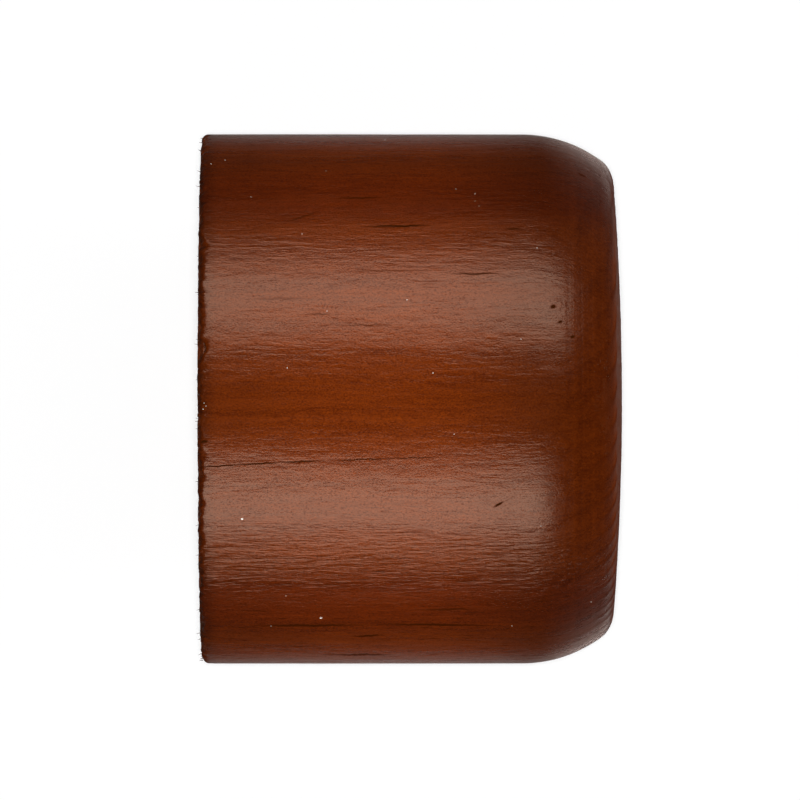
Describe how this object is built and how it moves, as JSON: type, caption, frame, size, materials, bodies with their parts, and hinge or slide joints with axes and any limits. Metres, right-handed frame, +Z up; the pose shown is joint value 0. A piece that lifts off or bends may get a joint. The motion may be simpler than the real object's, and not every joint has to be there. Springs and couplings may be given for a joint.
{
  "type": "curtain pole finial",
  "caption": "Turned wooden end cap for a curtain pole: plain round barrel, rounded shoulder and slightly domed end, with a blind socket that pushes onto the pole.",
  "frame": {"origin": "centre of the socket's mouth, on the turning axis", "axes": "+X along the turning axis from the mouth to the domed nose, as the cap points off the end of a level pole; +Z up"},
  "size_m": [0.0317, 0.04, 0.04],
  "materials": {
    "stained_wood": "satin"
  },
  "bodies": {
    "root": {"finial_cap": "stained_wood"}
  },
  "joints": []
}
